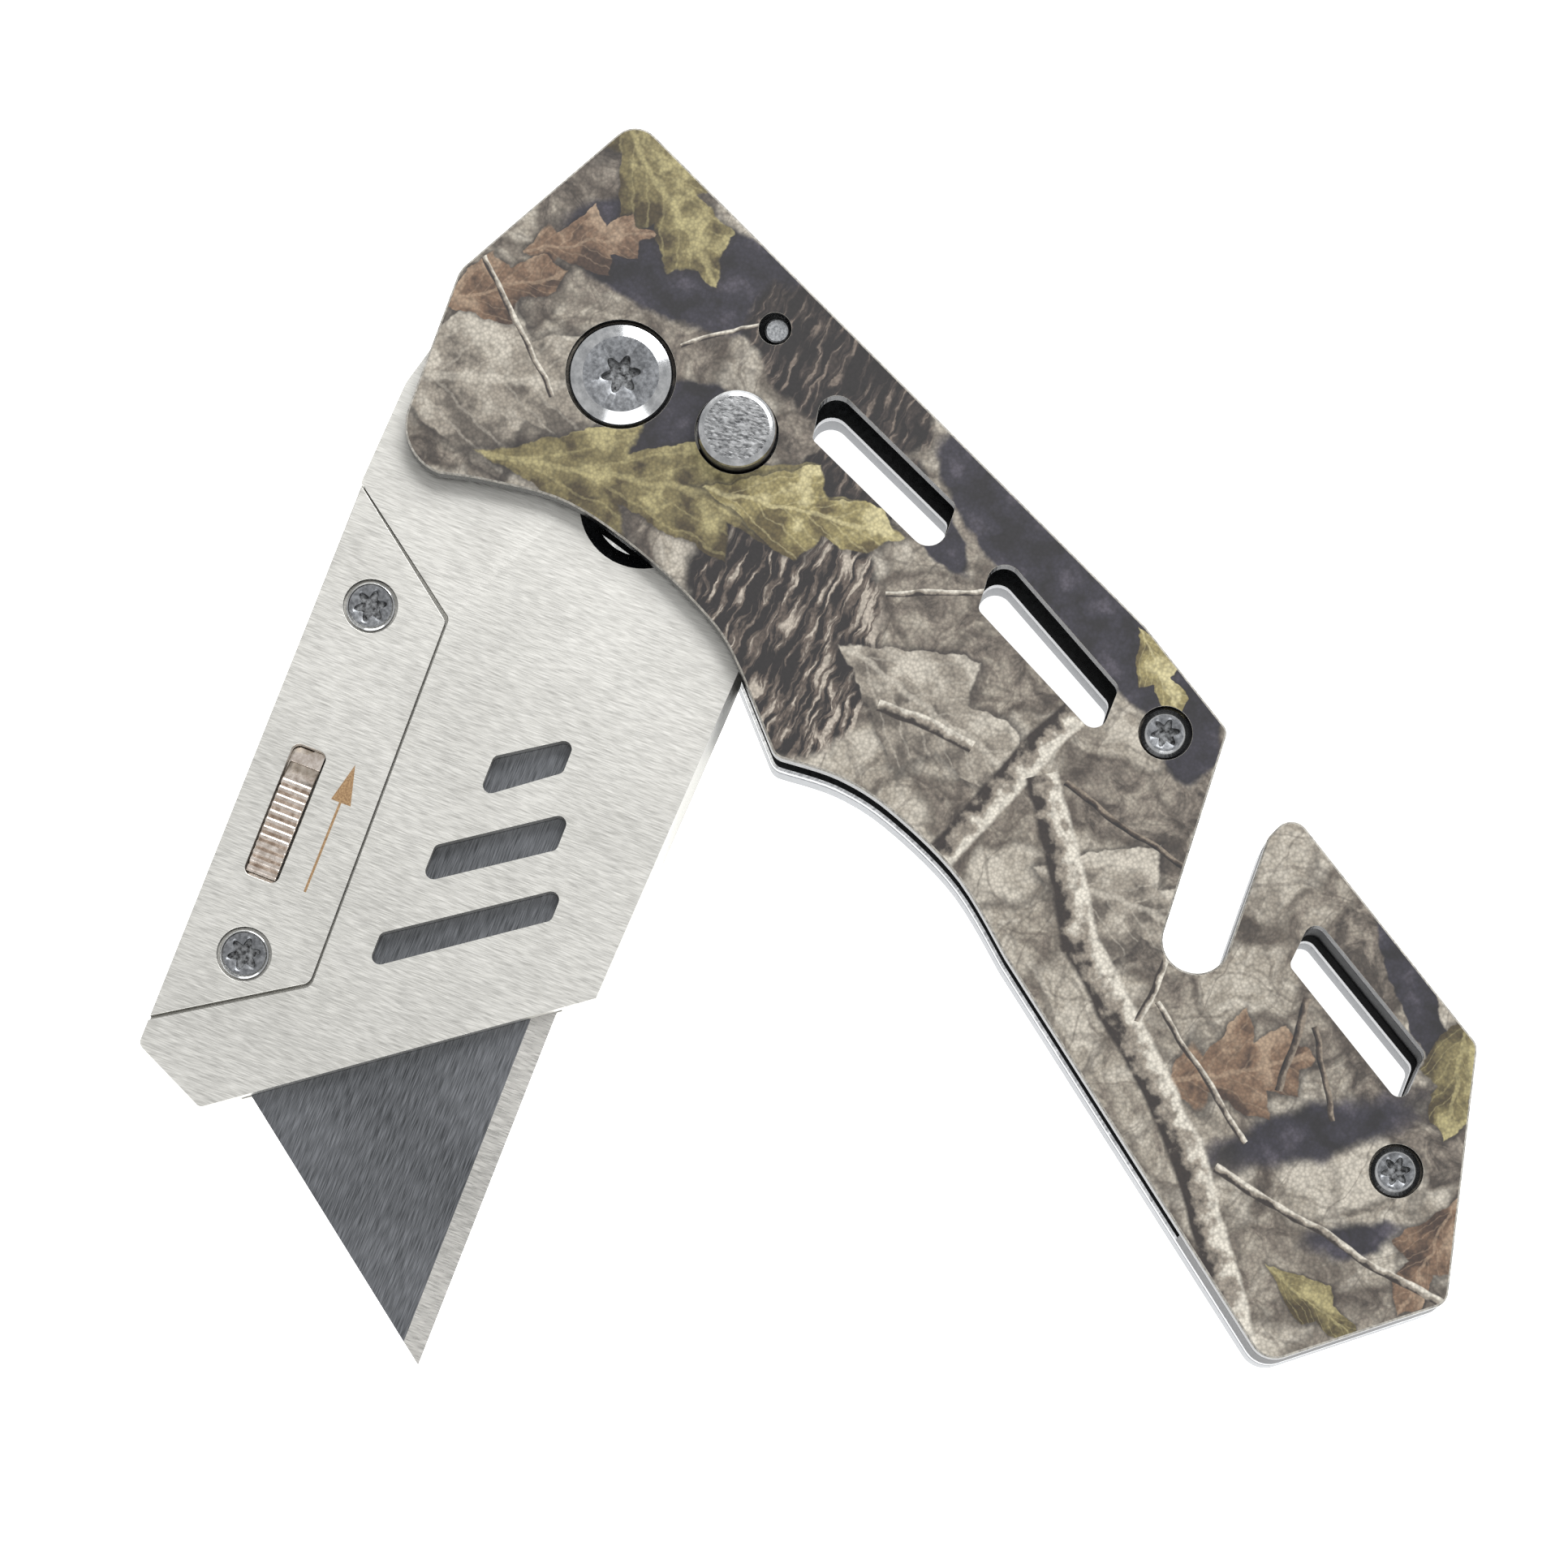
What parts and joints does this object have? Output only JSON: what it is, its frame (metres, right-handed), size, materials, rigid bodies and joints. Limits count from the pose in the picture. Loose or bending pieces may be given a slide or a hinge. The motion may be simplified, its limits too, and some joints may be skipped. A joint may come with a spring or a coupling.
{
  "type": "folding utility knife",
  "caption": "Folding utility knife with a printed slotted handle, a cord-cutting notch, a push-button lock and a half-open steel carrier holding a trapezoid blade.",
  "frame": {"origin": "pivot axis at the back face, on the flat head of the pivot barrel", "axes": "+X along the handle from the pivot to the butt, +Y to the spine, +Z out of the printed front"},
  "size_m": [0.1054, 0.0771, 0.0142],
  "materials": {
    "printed_plate": "printed, satin",
    "black_plastic": "matt",
    "liner_steel": "brushed, bright chamfered edge",
    "back_metal": "satin grey",
    "carrier_steel": "brushed",
    "screw_steel": "turned",
    "blade_steel": "ground, bright bevel",
    "nickel": "plated",
    "spring_steel": "drawn",
    "bronze": "turned"
  },
  "bodies": {
    "handle": {"front_scale": "printed_plate", "back_liner": "liner_steel", "back_scale": "back_metal", "spine_spacer": "black_plastic", "butt_spacer": "black_plastic", "stop_pin": "spring_steel", "pivot_barrel": "screw_steel", "pivot_screw": "screw_steel", "front_washer": "bronze", "back_washer": "bronze", "body_screw_upper": "screw_steel", "body_screw_butt": "screw_steel", "button_spring": "spring_steel"},
    "button": {"lock_button": "screw_steel"},
    "carrier": {"blade_carrier": "carrier_steel", "cover_plate": "carrier_steel", "cover_screw_upper": "screw_steel", "cover_screw_lower": "screw_steel", "utility_blade": "blade_steel", "latch_pin": "spring_steel", "slider_spring": "spring_steel"},
    "slider": {"release_slider": "nickel"},
    "latch": {"blade_latch": "spring_steel"}
  },
  "joints": [
    {"name": "carrier_fold", "type": "hinge", "parent": "handle", "child": "carrier", "pos_m": [0, 0, 0.0076], "axis": [0, 0, 1], "range_deg": [-120, 53]},
    {"name": "button_press", "type": "slide", "parent": "handle", "child": "button", "axis": [0, 0, -1], "range_m": [0, 0.0014], "stiffness_N_per_m": 1200, "deforming": ["button_spring"]},
    {"name": "release_slide", "type": "slide", "parent": "carrier", "child": "slider", "axis": [-0.512, 0.859, 0], "range_m": [0, 0.0012], "stiffness_N_per_m": 800},
    {"name": "latch_swing", "type": "hinge", "parent": "carrier", "child": "latch", "pos_m": [0.00746, -0.02931, 0.0076], "axis": [0, 0, 1], "range_deg": [-13, 0]}
  ],
  "couplings": [
    {"joint": "latch_swing", "follows": "release_slide", "rad_per_m": -160}
  ]
}
